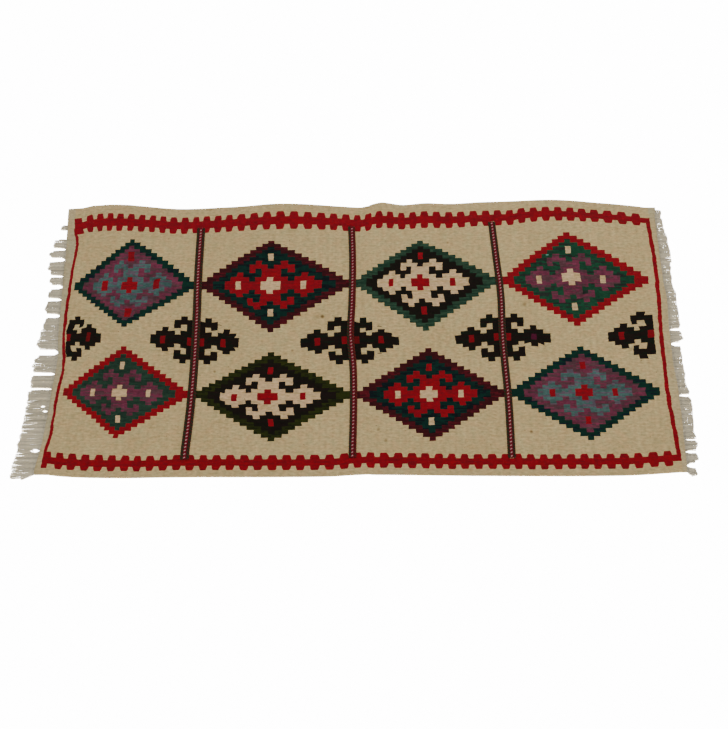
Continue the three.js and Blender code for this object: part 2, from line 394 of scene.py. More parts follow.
# ---- Short loose ends of weft on top of the cloth, in millimetres ----
WEFT_POINTS = 9
WEFT_WRIGGLE = 0.4
WEFT_SUNK = 0.4
WEFT_TAPER = 0.5
LOOSE_WEFTS = table(
    "along across length rise radius dye",
    (57, 13.3, 12, -0.5, 0.9, "black"),
    (57, -69.6, 12, 0.4, 0.9, "black"),
    (444, 25.4, 11, 0.3, 0.9, "black"),
    (-385, 17.6, 13, -1.0, 0.9, "black"),
    (538, 240.5, 9, 1.2, 2.6, "pale_teal"),
)

# ---- The braids: three ropes side by side, each of them plied ----
ROPE_PITCH = 9.75
ROPE_SIDES = 6
# The ropes follow the cloth's height, as a mean over this many points to both sides.
ROPE_STIFFNESS = 6
ROPES = named(table(
    "name ply_radius lay_width lay_height turn lift",
    ("side", 1.95, 1.5, 0.6, 1, 0.9),
    ("core", 1.8, 2.3, 0.8, -1, 1.5),
))
# How far apart the ropes are, how much broader than the ropes above, and the dyes of the side
# ropes' plies. The bends say how far a braid stands aside from the straight line between its ends.
BRAIDS = named(table(
    "name spacing breadth left right bends",
    ("braid_left", 7.9, 1.3, ["leaf", "bark"], ["bark", "leaf"],
     table("across aside", (-355, 2), (-230, 8), (70, 6), (160, 3), (345, 1))),
    ("braid_middle", 6.7, 1.12, ["bark", "leaf"], ["russet", "bark"],
     table("across aside", (-355, 4), (-230, 8), (-110, 8), (-20, 2), (90, 7), (220, 10),
           (345, 8))),
    ("braid_right", 6.9, 1.2, ["leaf", "bark"], ["bark", "leaf"],
     table("across aside", (-355, 0), (-230, 4), (0, 4), (100, 9), (250, 5), (345, 2))),
))
CORE_PLIES = 3
CORE_DYE = "wine"
# One ply of the core shows pale where it comes over the top, for this share of its turn.
FLECK_DYE = "pink"
FLECK_SHARE = 0.25
POINTS_PER_PITCH = 8

# ---- The fringe: each warp end is three strands of two loosely twisted plies ----
WARP_SPACING = 3.4
STRANDS = table(
    "aside above",
    (0.0, 0.0),
    (1.95, 0.5),
    (1.0, 1.9),
)
STRAND_PITCH = 12.0
STRAND_SIDES = 4
STRAND_PLIES = 2
STRAND_PLY_RADIUS = 0.95
STRAND_LAY = 0.7
STRAND_ROOT_INSIDE = 3.0
STRAND_ROOT_HEIGHT = 1.6
CORNER_INSET = 2.5
SETTLE_REACH = 9.0
SHORTEST_TUFT = 9.0
GATHER_REACH = 14.0
# How much shorter than its comb a strand is: in waves along the end, by chance, and at the few tips
# that have broken off.
SHORTER = {"waves": 0.06, "chance": 0.03, "broken": 0.09}
UNBROKEN_SHARE = 0.93
LENGTH_WAVE = {"size": 5.3, "wander": 2.0, "wander_size": 17.0}
# What chance does to a strand on its way out: the share that it gathers into its tuft by, the
# length of its waves, and how high it humps over the strands below.
GATHER_MOST = 0.1
WAVE_TURNS = (4, 9)
HUMP_MOST = 1.2
STRAND_TAPER = 0.25
# The CAD comb's notches up to twice this wide are closed, and the real gaps are parted instead:
# where each one lies across the rug, and its width. Where the fringe is worn off, none is left.
CLOSED_NOTCH = 14
# The comb is read this far past the first and the last warp end too.
COMB_MARGIN = 40
# A gap opens over this way out, and the ends beside it are up to this share shorter.
GAP_OPENS_OVER = 12.0
GAP_SHORTENS = 0.1
# The warp ends gather into cords, which wander, with shade painted between them and at the cloth.
CORD_WIDTH = 11.0
CORD_WANDERS = table("size share", (17, 0.35), (7.3, 0.2))
HOLLOW_PAINTED_SHADE = 0.28
ROOT_PAINTED_SHADE = 0.25
ROOT_SHADE_REACH = 4.0
FRINGES = {
    "left": {
        "node": "fringe_left", "outward": -1, "points": 18, "sway": 0.5, "wave": 0.3, "seed": 31,
        "spread_over": 30,
        "flare": {"from": -357, "share": 0.1, "out": 57},
        "holes": table("across out half", (-351, 14, 5), (-240, 10, 3), (-226, 18, 3)),
        "gaps": [(259, 8), (225, 13), (170, 6), (136, 14), (96, 9), (46, 12), (-68, 17),
                 (-132, 8), (-177, 4)],
        "worn": [(309, 27)],
        "longer": [(-425, 4), (-405, 5), (-370, 0), (-330, 6), (-10, 6), (30, 3), (110, 3),
                   (150, -3), (230, 3), (340, 3)],
    },
    "right": {
        "node": "fringe_right", "outward": 1, "points": 16, "sway": 0.7, "wave": 0.4, "seed": 32,
        "spread_over": 12,
        "flare": {"from": -400, "share": 0.0, "out": 30},
        "holes": [],
        "gaps": [(3, 7), (-41, 12), (-195, 7), (-322, 3), (-354, 7), (-392, 13)],
        "worn": [],
        "longer": [(-420, 3), (-370, 3), (-330, 6), (-290, 3), (-250, 8), (-210, 6), (-170, 3),
                   (-90, 3), (-50, 5), (-10, 5), (30, 3), (110, 3), (150, -3), (190, 0),
                   (230, 3), (310, 0), (350, -3), (390, 3)],
    },
}

# ---- The studio ----
# A lit floor, as under a product photo: it comes out nearly white and shadows on it stay faint.
FLOOR_GLOW = 14.0
FLOOR_HALF_WIDTH = 9.0
SKY_STRENGTH = 0.75
LIGHTS = table(
    "name place size watts",
    ("key", (1.6, 1.8, 3.4), 2.5, 75),
    ("fill", (-2.2, -2.0, 3.0), 3.0, 30),
)
CAMERA_PLACE = (0.0202, -1.2741, 2.5153)
CAMERA_TILT = math.radians(25)
CAMERA_LENS = 50.53
CAMERA_SENSOR = 36


# ---- Small helpers ----
def linear_colour(code):
    """The linear colour of an sRGB code such as 0xB5A27C."""
    channels = [(code >> shift & 255) / 255 for shift in (16, 8, 0)]
    return np.array([c / 12.92 if c <= 0.04045 else ((c + 0.055) / 1.055) ** 2.4 for c in channels])


def read_line(points, places):
    """Straight lines between a list of (place, value), read at many places; level outside it."""
    return np.interp(places, *zip(*points))


def straight_read(rows, place_column, value_column, places):
    """Straight lines from row to row of a table, read at many places; level outside the table."""
    return read_line([(row[place_column], row[value_column]) for row in rows], places)


def smooth_read(rows, place_column, value_column, places):
    """A smooth curve through the rows of a table, read at many places; level outside the table."""
    xs = np.array([row[place_column] for row in rows], float)
    ys = np.array([row[value_column] for row in rows], float)
    slopes = np.gradient(ys, xs)
    p = np.clip(places, xs[0], xs[-1])
    i = np.clip(np.searchsorted(xs, p, side="right") - 1, 0, len(xs) - 2)
    span = xs[i + 1] - xs[i]
    t = (p - xs[i]) / span
    rise = (2 * t**3 - 3 * t**2 + 1) * ys[i] + (3 * t**2 - 2 * t**3) * ys[i + 1]
    return rise + span * ((t**3 - 2 * t**2 + t) * slopes[i] + (t**3 - t**2) * slopes[i + 1])


def noise_grid(x, y, size, layer):
    """Smooth noise from about -1 to 1 at every grid point, with features of the given size."""
    flat = zip((x / size).ravel(), (y / size).ravel())
    values = [noise.noise(Vector((a, b, layer))) for a, b in flat]
    return 1.6 * np.array(values).reshape(x.shape)


def add_object(name, data):
    thing = bpy.data.objects.new(name, data)
    bpy.context.collection.objects.link(thing)
    return thing


def add_mesh(name, vertices, faces, material):
    mesh = bpy.data.meshes.new(name)
    mesh.from_pydata(vertices, [], faces)
    mesh.materials.append(material)
    return add_object(name, mesh)


def make_piece(name, vertices, faces, material):
    """A smooth-shaded mesh that rides on the rug's body."""
    piece = add_mesh(name, vertices, faces, material)
    piece.data.polygons.foreach_set("use_smooth", [True] * len(faces))
    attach(piece, "root")
    return piece


def add_face_colours(mesh, colours):
    """Stores one linear colour for each face, on all of its corners."""
    counts = np.array([len(polygon.vertices) for polygon in mesh.polygons])
    rgba = np.ones((len(counts), 4))
    rgba[:, :3] = colours
    layer = mesh.color_attributes.new("dye", "FLOAT_COLOR", "CORNER")
    layer.data.foreach_set("color", np.repeat(rgba, counts, axis=0).ravel())


# ---- The CAD solids, read from the frame ----
def cad_corners(node):
    return np.array([vertex.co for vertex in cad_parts[node].data.vertices])


def mesh_tree(piece):
    corners = [tuple(vertex.co) for vertex in piece.data.vertices]
    return BVHTree.FromPolygons(corners, [tuple(p.vertices) for p in piece.data.polygons])


CLOTH_TREE = mesh_tree(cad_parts["cloth"])
UP = Vector((0, 0, 1))


def underside_at(x, y):
    """The height of the CAD cloth's underside over a place in millimetres, or None outside it."""
    hit = CLOTH_TREE.ray_cast(Vector((x * MM, y * MM, RAYS_FROM["below"])), UP)[0]
    return None if hit is None else hit.z / MM


def edge_from(x, y, dx, dy, reach):
    """How far the CAD cloth goes from a place on it in one direction, in millimetres."""
    low, high = 0.0, reach
    for _ in range(EDGE_HALVINGS):
        middle = (low + high) / 2
        if underside_at(x + dx * middle, y + dy * middle) is None:
            high = middle
        else:
            low = middle
    return low


def places_between(low, high, outline):
    return np.linspace(low + outline["after"], high - outline["before"], outline["places"])


def cloth_outline():
    """The CAD cloth's four edges, each as its places and its reach there, in millimetres."""
    low, high = [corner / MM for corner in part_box("cloth")]
    along = places_between(low.x, high.x, OUTLINE_ALONG)
    across = places_between(low.y, high.y, OUTLINE_ACROSS)
    return {
        "near": (along, np.array([-edge_from(x, 0, 0, -1, -low.y + 5) for x in along])),
        "far": (along, np.array([edge_from(x, 0, 0, 1, high.y + 5) for x in along])),
        "left": (across, np.array([-edge_from(0, y, -1, 0, -low.x + 5) for y in across])),
        "right": (across, np.array([edge_from(0, y, 1, 0, high.x + 5) for y in across])),
    }


OUTLINE = cloth_outline()


def edge_at(side, places):
    """Where the cloth ends on one side."""
    return np.interp(places, *OUTLINE[side]) + read_line(EDGE_SHIFTS[side], places)


def cloth_end_corners(side_name):
    """Where the cloth's near and far corners lie across the rug at one end, in metres."""
    corners = cad_corners("cloth")
    limit = edge_at(side_name, 0.0) * MM * END_SHARE
    is_end = corners[:, 0] < limit if side_name == "left" else corners[:, 0] > limit
    return corners[is_end, 1].min(), corners[is_end, 1].max()


CLOTH_ENDS = {side_name: cloth_end_corners(side_name) for side_name in ("left", "right")}


def braid_ends(node):
    """Where a CAD braid's middle line starts and ends, as two (x, y) in millimetres."""
    corners = cad_corners(node) / MM
    ends = []
    for y in (corners[:, 1].min(), corners[:, 1].max()):
        near_end = corners[np.abs(corners[:, 1] - y) < BRAID_END_DEPTH]
        ends.append(((near_end[:, 0].min() + near_end[:, 0].max()) / 2, y))
    return ends


def braid_x(node, y):
    """Where a braid's middle lies along the rug, at each place across it, in millimetres."""
    (x0, y0), (x1, y1) = braid_ends(node)
    straight = x0 + (y - y0) * (x1 - x0) / (y1 - y0)
    return straight + smooth_read(BRAIDS[node]["bends"], "across", "aside", y)


# ---- The grid of rib lines and column lines ----
def names_by_step(blocks):
    """The name of the block and the number within it, for every step of the design."""
    return [(block["name"], step) for block in blocks for step in range(block["steps"])]


def block_starts(names):
    return {name: place for place, (name, step) in enumerate(names) if step == 0}


ROW_NAMES = names_by_step(ROW_BLOCKS)
COLUMN_NAMES = names_by_step(COLUMN_BLOCKS)
ROW_COUNT = len(ROW_NAMES)
COLUMN_COUNT = len(COLUMN_NAMES)
ROW_START = block_starts(ROW_NAMES)
COLUMN_START = block_starts(COLUMN_NAMES)
BAND_ROWS = {"near": (ROW_START["near_teeth_out"], ROW_START["near_ground"]),
             "far": (ROW_START["far_teeth_in"], ROW_START["far_margin"])}


def rib_lines():
    """The row number of every rib line."""
    lines = []
    for block in ROW_BLOCKS:
        start, ribs = ROW_START[block["name"]], block["ribs"]
        lines += [start + i / ribs for i in range(block["steps"] * ribs)]
    return np.array(lines + [ROW_COUNT])


def column_lines():
    return np.arange(COLUMN_COUNT * PARTS_OF_A_COLUMN + 1) / PARTS_OF_A_COLUMN


def column_stations(rows, y):
    """The numbers of the main columns, and where each lies along the rug on each rib line."""
    # The whole near band is read at one row of COLUMN_PLACES, and the far one from 66.5 onwards.
    band_rows = [0, ROW_START["near_ground"], 9, 62, ROW_START["far_teeth_in"], ROW_COUNT]
    read_rows = np.interp(rows, band_rows, [3.5, 3.5, 9, 62, 66.5, ROW_COUNT])

    def at(name):
        return smooth_read(COLUMN_PLACES, "row", name, read_rows)

    def y_at(column):
        return y[:, int(column * PARTS_OF_A_COLUMN)]

    stations = [
        (0, edge_at("left", y_at(0))),
        (COLUMN_START["left_line"], at("line_left") - LINE_HALF_WIDTH["left"]),
        (COLUMN_START["left_gap"], at("line_left") + LINE_HALF_WIDTH["left"]),
        (COLUMN_START["a"], at("a_left")),
        (COLUMN_START["a"] + 3, at("a_third")),
    ]
    for panel, braid in (("a", "braid_left"), ("b", "braid_middle"), ("c", "braid_right")):
        start = COLUMN_START[braid]
        middle = braid_x(braid, y_at(start))
        stations.append((COLUMN_START[panel] + PANEL_COLUMNS / 2, at(panel)))
        stations.append((start, middle - BRAID_HALF_WIDTH))
        stations.append((start + 1, middle + BRAID_HALF_WIDTH))
    stations += [
        (COLUMN_START["d"] + PANEL_COLUMNS / 2, at("d")),
        (COLUMN_START["right_gap"], at("d_right")),
        (COLUMN_START["right_line"], at("line_right") - LINE_HALF_WIDTH["right"]),
        (COLUMN_START["right_margin"], at("line_right") + LINE_HALF_WIDTH["right"]),
        (COLUMN_COUNT, edge_at("right", y_at(COLUMN_COUNT))),
    ]
    numbers, places = zip(*stations)
    return numbers, np.array(places)


def column_places(rows, columns, y):
    """Where each column line lies along the rug on each rib line."""
    numbers, places = column_stations(rows, y)
    swelled = columns + tooth_swell(rows, columns)
    x = np.array([np.interp(swelled[i], numbers, places[:, i]) for i in range(len(rows))])
    for side, (first, last) in BAND_ROWS.items():
        nearness = 1 - np.clip(np.maximum(first - rows, rows - last), 0, 1)
        x = x + nearness[:, None] * read_line(TOOTH_DRIFT[side], x)
    return lean_corner(rows, x)


def lean_corner(rows, x):
    """The far band's first teeth lean, but stay clear of the thin end line beside them."""
    first, last = BAND_ROWS["far"]
    place = np.clip((rows - (first + last) / 2) / ((last - first) / 2), -1, 1)
    place = place * (rows > first - 0.5) * np.clip(last + 1 - rows, 0, 1)
    fade = np.exp(-(((x - CORNER_LEAN["along"]) / CORNER_LEAN["reach"]) ** 2))
    leaning = x - place[:, None] * CORNER_LEAN["most"] * fade
    start = COLUMN_START["a"] * PARTS_OF_A_COLUMN
    line_side = x[:, start - PARTS_OF_A_COLUMN]
    leaning[:, :start] = x[:, :start]
    leaning[:, start] = np.maximum(leaning[:, start], line_side + 1)
    leaning[:, start - 1] = (line_side + leaning[:, start]) / 2
    return leaning


def tooth_swell(rows, columns):
    """How far each column line shifts in the toothed bands, in columns, to widen every tooth."""
    turns = np.zeros(len(columns))
    for panel in "abcd":
        start = COLUMN_START[panel]
        for column in range(2 * (panel == "a"), PANEL_COLUMNS + 1):
            turns[int((start + column) * PARTS_OF_A_COLUMN)] = 1 if column % 2 else -1
    shift = np.zeros(len(rows))
    for low, high in BAND_ROWS.values():
        outwards = np.clip(np.abs(rows - (low + high) / 2) - 0.5, 0, 1)
        inside = (rows > low - 1e-6) & (rows < high + 1e-6)
        shift = np.where(inside, read_line(TOOTH_SWELL, outwards), shift)
    return shift[:, None] * turns


def row_levels(x):
    """The numbers of the main rows, and where each lies across the rug, at each place along it."""
    far = edge_at("far", x)
    band_middle = far - straight_read(FAR_BAND_PLACES, "along", "inset", x)
    band = straight_read(FAR_BAND_PLACES, "along", "height", x)
    levels = [(0, edge_at("near", x))]
    for name, row in (("inset", "near_teeth_out"), ("teeth_out", "near_core"),
                      ("core", "near_teeth_in"), ("teeth_in", "near_ground")):
        height = straight_read(NEAR_BAND_PLACES, "along", name, x)
        levels.append((ROW_START[row], levels[-1][1] + height))
    lower, upper = ROW_START["lower"], ROW_START["upper"]
    for name, row in (("lower", lower), ("lower_mid", lower + MEDALLION_HALF),
                      ("lower_end", ROW_START["middle"]), ("upper", upper),
                      ("upper_mid", upper + MEDALLION_HALF),
                      ("upper_end", ROW_START["far_ground"])):
        levels.append((row, smooth_read(ROW_PLACES, "along", name, x)))
    levels += [
        (ROW_START["far_teeth_in"], band_middle - band / 2),
        (ROW_START["far_core"], band_middle - band * (0.5 - FAR_TEETH_SHARE)),
        (ROW_START["far_teeth_out"], band_middle + band * (0.5 - FAR_TEETH_SHARE)),
        (ROW_START["far_margin"], band_middle + band / 2),
        (ROW_COUNT, far),
    ]
    numbers, places = zip(*levels)
    return np.array(numbers, float), np.array(places)


def row_places(rows, x):
    """Where each rib line lies across the rug, at each place along it."""
    numbers, places = row_levels(x)
    eased = ease_upper_rows(rows)
    index = np.clip(np.searchsorted(numbers, eased, side="right") - 1, 0, len(numbers) - 2)
    share = ((eased - numbers[index]) / (numbers[index + 1] - numbers[index]))[:, None]
    line = np.arange(len(rows))
    return (1 - share) * places[index, line] + share * places[index + 1, line]


def ease_upper_rows(rows):
    """The steps above the upper medallions' middle are taller near it than at the tip."""
    middle = ROW_START["upper"] + MEDALLION_HALF
    u = np.clip((rows - middle) / MEDALLION_HALF, 0, 1)
    return rows + MEDALLION_HALF * UPPER_ROWS_TALLER_INSIDE * u * (1 - u)


def lay_out_grid():
    """The place of every crossing of a rib line and a column line, in millimetres."""
    rows, columns = rib_lines(), column_lines()
    even = edge_at("near", np.zeros(1)) + rows / ROW_COUNT * EVEN_WIDTH
    y = np.repeat(even[:, None], len(columns), axis=1)
    for _ in range(GRID_ROUNDS):
        x = column_places(rows, columns, y)
        y = row_places(rows, x)
    return rows, columns, x, y


def pull_motifs(rows, x, y):
    """Moves single parts of the motifs off their even places, as in the hand-woven original."""
    start_x, start_y = x.copy(), y.copy()
    for pull in MOTIF_PULLS:
        column = COLUMN_START[pull["panel"]] + pull["column"] + 0.5
        i = np.argmin(np.abs(rows - pull["row"]))
        j = int(column * PARTS_OF_A_COLUMN)
        away = np.hypot(start_x - start_x[i, j], start_y - start_y[i, j])
        hold = np.exp(-((away / pull["reach"]) ** 4))
        x = x + pull["aside"] * hold
        y = y + pull["up"] * hold
    return x, y


def draw_in_spots(rows, x, y):
    """Spots and red hook parts are a little smaller than whole steps, and bold ones larger."""
    letters = [[motif_letter(r, c) for c in range(COLUMN_COUNT)] for r in range(ROW_COUNT)]
    aside, up = np.zeros_like(x), np.zeros_like(y)
    for r in range(1, ROW_COUNT - 1):
        for c in range(1, COLUMN_COUNT - 1):
            letter = letters[r][c]
            if letter not in DRAWN_IN:
                continue
            place = (ROW_NAMES[r][0], COLUMN_NAMES[c][0])
            inset = DRAWN_IN["bold s" if letter == "s" and place in BOLD_SPOTS else letter]
            low, high = np.searchsorted(rows, (r - 1e-6, r + 1 - 1e-6))
            left, right = c * PARTS_OF_A_COLUMN, (c + 1) * PARTS_OF_A_COLUMN
            width = inset["aside"] * (x[low, right] - x[low, left])
            height = inset["up"] * (y[high, left] - y[low, left])
            beside = "." if letter == "k" else letter
            for line_row, line_column, line, shifts, amount in (
                    (r, c - 1, np.s_[low:high + 1, left], aside, width),
                    (r, c + 1, np.s_[low:high + 1, right], aside, -width),
                    (r - 1, c, np.s_[low, left:right + 1], up, height),
                    (r + 1, c, np.s_[high, left:right + 1], up, -height)):
                if (letters[line_row][line_column] == beside) == (letter == "k"):
                    shifts[line] = amount
    return x + aside, y + up


def loosen_grid(columns, x, y):
    """Hand weaving: columns wander a little from step to step, and rib by rib at their sides."""
    rng = np.random.default_rng(SEEDS["grid"])
    inside = np.ones_like(x)
    inside[:, [0, -1]] = 0
    inside[[0, -1], :] = 0
    wander = sum(noise_grid(x, y, w["size"], w["layer"]) * w["most"] for w in COLUMN_WANDERS)
    ragged = rng.uniform(-RAGGED_SIDES, RAGGED_SIDES, x.shape)
    bend = noise_grid(x, y, RIB_BEND["size"], RIB_BEND["layer"]) * RIB_BEND["most"]
    from_braids = [np.abs(columns - COLUMN_START[node] - 0.5) - 0.5 for node in BRAIDS]
    loose = np.clip(np.min(from_braids, axis=0) / BRAID_CALM, 0, 1)
    return x + inside * loose * (wander + ragged), y + inside * bend


# ---- Which dye each step of the design has ----
def steps_out(place, middle):
    """How many steps a place lies outwards from a line between two steps."""
    return place - middle if place >= middle else middle - 1 - place


def medallion_letter(step, column):
    return MEDALLION[steps_out(step, MEDALLION_HALF)][abs(column - PANEL_COLUMNS // 2)]


def hook_letter(row, column):
    outward_row = steps_out(row, HOOK_MIDDLE_ROW)
    outward_column = min(column, PANEL_COLUMNS - 1 - column)
    if outward_row >= len(HOOKS) or outward_column >= len(HOOKS[0]):
        return "."
    return HOOKS[outward_row][outward_column]


def band_dye(row_name, column_name, column):
    """A toothed band: red teeth on both sides of a red core, which ends in the thin end lines."""
    is_core = row_name.endswith("core")
    is_near = row_name.startswith("near")
    if is_core or column_name in ("left_line", "left_gap"):
        return "red"
    if column_name == "right_line":
        return "red" if row_name.endswith("in") else "ground"
    if column_name == "right_gap" or column_name.startswith("braid"):
        return "ground"
    if is_near and column_name == "a" and column < 4:
        return "red" if column < 3 and row_name.endswith("in") else "ground"
    return "red" if column % 2 == 0 else "ground"


def motif_letter(row, column):
    """The letter of the medallion or the hooked motif at one step of the design, or a dot."""
    block, step = ROW_NAMES[row]
    panel, place = COLUMN_NAMES[column]
    if panel not in "abcd":
        return "."
    letter = medallion_letter(step, place) if block in ("lower", "upper") else "."
    return hook_letter(row, place) if letter == "." else letter


def panel_dye(row, column):
    block, step = ROW_NAMES[row]
    panel, place = COLUMN_NAMES[column]
    letter = motif_letter(row, column)
    if letter in "kr.":
        odd = ODD_HOOK_SPOTS.get((panel, place), "crimson")
        return {"k": "black", "r": odd, ".": "ground"}[letter]
    dye = MEDALLION_DYES[block, panel][letter]
    return ODD_MEDALLION_SPOTS.get((block, panel, step), dye) if letter == "s" else dye


def step_dye(row, column):
    """The dye of one step of the design."""
    row_name, _ = ROW_NAMES[row]
    column_name, step = COLUMN_NAMES[column]
    if column_name.endswith("margin") or row_name.endswith("margin"):
        return "ground"
    if "teeth" in row_name or "core" in row_name:
        return band_dye(row_name, column_name, step)
    if column_name.endswith("line"):
        return "red"
    if column_name.startswith("braid"):
        return "ground" if row == ROW_START["near_ground"] else "black"
    return "ground" if column_name.endswith("gap") else panel_dye(row, column)


def dye_names():
    return [[step_dye(r, c) for c in range(COLUMN_COUNT)] for r in range(ROW_COUNT)]


def face_colours(names, rows, columns, x, y):
    """A linear colour for each cell of the grid, with streaks along the warp in it."""
    rng = np.random.default_rng(SEEDS["dyes"])
    mid_x, mid_y = [(places[:-1, :-1] + places[1:, 1:]) / 2 for places in (x, y)]
    rib = np.indices(mid_x.shape)[0]
    streak, tone = [
        noise_grid(mid_x, rib * row["rib_step"], row["size"], row["layer"])
        + rng.uniform(-row["chance"], row["chance"], mid_x.shape) for row in DYE_NOISES]
    colours = np.zeros(mid_x.shape + (3,))
    for i, row in enumerate(rows[:-1]):
        for j, column in enumerate(columns[:-1]):
            dye = DYES[names[int(row + 1e-6)][int(column)]]
            second = streak[i, j] > STREAK_LIMIT * (1 - 2 * dye["share"])
            base = linear_colour(dye["second"] if second else dye["main"])
            colours[i, j] = base * (1 + dye["wander"] * tone[i, j])
    margin = COLUMN_START["left_line"] * PARTS_OF_A_COLUMN
    for side, cells in (("left", np.s_[:, :margin]), ("right", np.s_[:, -margin:])):
        greyness = read_line(END_GREYNESS[side], mid_y[cells])[..., None]
        colours[cells] += greyness * (linear_colour(DYES["end_grey"]["main"]) - colours[cells])
    return np.clip(colours, 0, 1)


# ---- The cloth ----
def blur(values, radius, axis):
    """A running mean over a grid, which rounds the CAD's facets."""
    padded = np.pad(values, [(radius, radius) if a == axis else (0, 0) for a in (0, 1)], "edge")
    total = np.cumsum(padded, axis=axis)
    total = np.concatenate([np.zeros_like(np.take(total, [0], axis)), total], axis=axis)
    width = 2 * radius + 1
    last = np.take(total, range(width, total.shape[axis]), axis)
    first = np.take(total, range(0, total.shape[axis] - width), axis)
    return (last - first) / width


def underside_heights(x, y):
    """The underside's height over the floor at every grid point, in millimetres."""
    lift = np.zeros(x.shape)
    for place in np.ndindex(x.shape):
        height = underside_at(x[place], y[place])
        if height is None:
            height = underside_at(x[place] * HEIGHT_PULL, y[place] * HEIGHT_PULL)
        lift[place] = height or 0.0
    lift = blur(blur(lift, HEIGHT_BLUR["rows"], 0), HEIGHT_BLUR["columns"], 1)
    cockle = 0.5 + 0.5 * np.clip(noise_grid(x, y, COCKLE["size"], COCKLE["layer"]), -1, 1)
    from_crease = x - CREASE["along"] - CREASE["sway"] * np.sin(y / CREASE["sway_size"])
    crease = CREASE["lift"] * np.exp(-((from_crease / CREASE["half_width"]) ** 2))
    return lift + COCKLE["height"] * cockle + crease


def slit_depths(names, rows, columns):
    """How deep the groove is at each grid point where two dyes meet along a warp."""
    depth = np.zeros((len(rows), len(columns)))
    for i in range(1, len(rows) - 1):
        below, above = names[int(rows[i] - 1e-6)], names[int(rows[i] + 1e-6)]
        for j in range(1, len(columns) - 1):
            if below[int(columns[j])] != above[int(columns[j])]:
                depth[i, j] = SLIT_DEPTH
    return depth


def cloth_surfaces(names, rows, columns, x, y):
    """The heights of its top and underside, with grooves where dyes meet and thinner edges."""
    low = underside_heights(x, y)
    slit = slit_depths(names, rows, columns)
    border = np.zeros_like(x)
    border[[0, -1], :] = SELVEDGE_INSET
    border[:, [0, -1]] = SELVEDGE_INSET
    return low + THICKNESS - slit - border, low + 0.5 * slit + border


def build_cloth(material):
    rows, columns, x, y = lay_out_grid()
    names = dye_names()
    x, y = pull_motifs(rows, x, y)
    x, y = draw_in_spots(rows, x, y)
    x, y = loosen_grid(columns, x, y)
    colours = face_colours(names, rows, columns, x, y)
    surfaces = cloth_surfaces(names, rows, columns, x, y)
    points = np.concatenate([np.stack([x, y, z], -1).reshape(-1, 3) for z in surfaces]) * MM
    index = np.arange(x.size).reshape(x.shape)
    a, b, c, d = index[:-1, :-1], index[:-1, 1:], index[1:, 1:], index[1:, :-1]
    upper = np.stack([a, b, c, d], -1).reshape(-1, 4)
    lower = np.stack([a, d, c, b], -1).reshape(-1, 4) + x.size
    walls, wall_colours = cloth_walls(index, colours)
    faces = upper.tolist() + lower.tolist() + walls
    cloth = make_piece("woven_cloth", points.tolist(), faces, material)
    colours = colours.reshape(-1, 3)
    add_face_colours(cloth.data, np.concatenate([colours, colours, wall_colours]))
    add_weave_places(cloth.data, x)
    return cloth


def cloth_walls(index, colours):
    """The thin faces round the cloth's edge, with the colours of the cells that they end."""
    rim = [(index[0, :], colours[0, :], -1), (index[-1, :], colours[-1, :], 1),
           (index[:, 0], colours[:, 0], 1), (index[:, -1], colours[:, -1], -1)]
    walls, wall_colours = [], []
    for line, shades, turn in rim:
        for k in range(len(line) - 1):
            a, b = (int(line[k]), int(line[k + 1]))[::turn]
            walls.append([a, b, b + index.size, a + index.size])
            wall_colours.append(shades[k])
    return walls, np.array(wall_colours)


def add_weave_places(mesh, x):
    """The weave's own coordinates: metres along the warp and the number of the rib."""
    places = np.stack([x * MM, np.indices(x.shape)[0], np.zeros_like(x)], -1).reshape(-1, 3)
    layer = mesh.attributes.new("weave", "FLOAT_VECTOR", "POINT")
    layer.data.foreach_set("vector", np.concatenate([places, places]).ravel())


# ---- Yarns ----
ALONG, ACROSS, ABOVE = np.eye(3)


def tubes(paths, radii, sides):
    """Closed tubes round many paths with equal point counts: (tube, point, xyz) in millimetres.

    Each face's tube and its stretch between two points come back with the mesh."""
    tangent = np.gradient(paths, axis=1)
    tangent /= np.linalg.norm(tangent, axis=2, keepdims=True)
    side = np.cross(tangent, ABOVE)
    side /= np.linalg.norm(side, axis=2, keepdims=True)
    over = np.cross(side, tangent)
    turn = np.arange(sides) * 2 * math.pi / sides
    ring = np.cos(turn)[:, None] * side[:, :, None] + np.sin(turn)[:, None] * over[:, :, None]
    points = paths[:, :, None] + radii[:, :, None, None] * ring
    index = np.arange(points.size // 3).reshape(points.shape[:3])
    a, b = index[:, :-1], index[:, 1:]
    walls = np.stack([a, b, np.roll(b, -1, 2), np.roll(a, -1, 2)], -1).reshape(len(paths), -1, 4)
    stretches = np.repeat(np.arange(paths.shape[1] - 1), sides)
    stretches = np.concatenate([stretches, [0, paths.shape[1] - 2]])
    faces, owners = [], []
    for number in range(len(paths)):
        caps = [index[number, 0].tolist(), index[number, -1, ::-1].tolist()]
        faces += walls[number].tolist() + caps
        owners += [number] * (walls.shape[1] + 2)
    return points.reshape(-1, 3) * MM, faces, np.array(owners), np.tile(stretches, len(paths))


def twist(path, side, plies, lay_width, lay_height, turns):
    """The paths of the plies that wind round one path; turns says how far round at each point."""
    paths = []
    for ply in range(plies):
        angle = 2 * math.pi * (turns + ply / plies)
        around = lay_width * np.cos(angle)[:, None] * side
        paths.append(path + (around + lay_height * np.sin(angle)[:, None] * ABOVE))
    return paths


